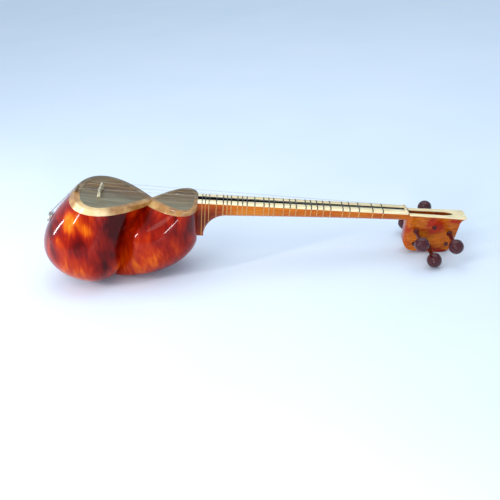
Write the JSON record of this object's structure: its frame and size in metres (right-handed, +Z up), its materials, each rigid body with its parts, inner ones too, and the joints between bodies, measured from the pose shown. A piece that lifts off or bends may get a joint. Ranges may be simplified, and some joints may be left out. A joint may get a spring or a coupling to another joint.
{
  "type": "long-necked lute",
  "caption": "Long-necked lute with a carved double bowl, two drum skins, a bone-faced neck with tied gut frets and a slotted pegbox whose pegs turn",
  "frame": {"origin": "middle of the bounding box in x and y, on the floor the instrument lies on", "axes": "+X along the instrument from the tail of the bowl to the end of the pegbox, +Y across it, +Z up. The face slopes down by 8 degrees towards +X"},
  "size_m": [0.946, 0.2268, 0.2174],
  "materials": {
    "bowl_lacquer": "high gloss shellac on flamed mulberry",
    "skin": "thin translucent lamb skin",
    "binding": "smooth cream binding, tan towards the waist",
    "bone": "polished bone",
    "black_strip": "satin",
    "neck_wood": "lacquered walnut",
    "pegbox_wood": "gloss lacquer",
    "peg_wood": "polished rosewood",
    "bridge_wood": "satin",
    "steel_string": "bright wire",
    "brass_string": "bright wire",
    "gut": "gut",
    "holder_metal": "satin",
    "pin_brass": "polished"
  },
  "bodies": {
    "instrument": {"bowl_left": "bowl_lacquer", "bowl_right": "bowl_lacquer", "large_skin": "skin", "small_skin": "skin", "large_binding": "binding", "small_binding": "binding", "string_holder": "holder_metal", "holder_pins": "pin_brass", "tail_saddle": "bone", "bridge": "bridge_wood", "neck": "neck_wood", "bone_strip_left": "bone", "bone_strip_right": "bone", "centre_strip": "black_strip", "nut": "bone", "pegbox": "pegbox_wood", "pegbox_crown": "pegbox_wood", "head_plate": "bone", "crown_plate": "bone", "string_1": "steel_string", "string_2": "steel_string", "string_3": "brass_string", "string_4": "brass_string", "string_5": "steel_string", "string_6": "brass_string", "fret_1": "gut", "fret_2": "gut", "fret_3": "gut", "fret_4": "gut", "fret_5": "gut", "fret_6": "gut", "fret_7": "gut", "fret_8": "gut", "fret_9": "gut", "fret_10": "gut", "fret_11": "gut", "fret_12": "gut", "fret_13": "gut", "fret_14": "gut", "fret_15": "gut", "fret_16": "gut", "fret_17": "gut", "fret_18": "gut", "fret_19": "gut", "fret_20": "gut", "fret_21": "gut", "fret_22": "gut", "fret_23": "gut", "fret_24": "gut", "fret_25": "gut", "fret_26": "gut", "fret_27": "gut"},
    "tuner_1": {"peg_1": "peg_wood"},
    "tuner_2": {"peg_2": "peg_wood"},
    "tuner_3": {"peg_3": "peg_wood"},
    "tuner_4": {"peg_4": "peg_wood"},
    "tuner_5": {"peg_5": "peg_wood"},
    "tuner_6": {"peg_6": "peg_wood"}
  },
  "joints": [
    {"name": "peg_1_turn", "type": "hinge", "parent": "instrument", "child": "tuner_1", "pos_m": [0.36075, 0, 0.05951], "axis": [0, -1, 0], "continuous": true},
    {"name": "peg_2_turn", "type": "hinge", "parent": "instrument", "child": "tuner_2", "pos_m": [0.35715, 0, 0.0267], "axis": [0, 1, 0], "continuous": true},
    {"name": "peg_3_turn", "type": "hinge", "parent": "instrument", "child": "tuner_3", "pos_m": [0.40176, 0, 0.06385], "axis": [0, 1, 0], "continuous": true},
    {"name": "peg_4_turn", "type": "hinge", "parent": "instrument", "child": "tuner_4", "pos_m": [0.38927, 0, 0.01814], "axis": [0, -1, 0], "continuous": true},
    {"name": "peg_5_turn", "type": "hinge", "parent": "instrument", "child": "tuner_5", "pos_m": [0.43488, 0, 0.04809], "axis": [0, -1, 0], "continuous": true},
    {"name": "peg_6_turn", "type": "hinge", "parent": "instrument", "child": "tuner_6", "pos_m": [0.42901, 0, 0.02064], "axis": [0, 1, 0], "continuous": true}
  ]
}
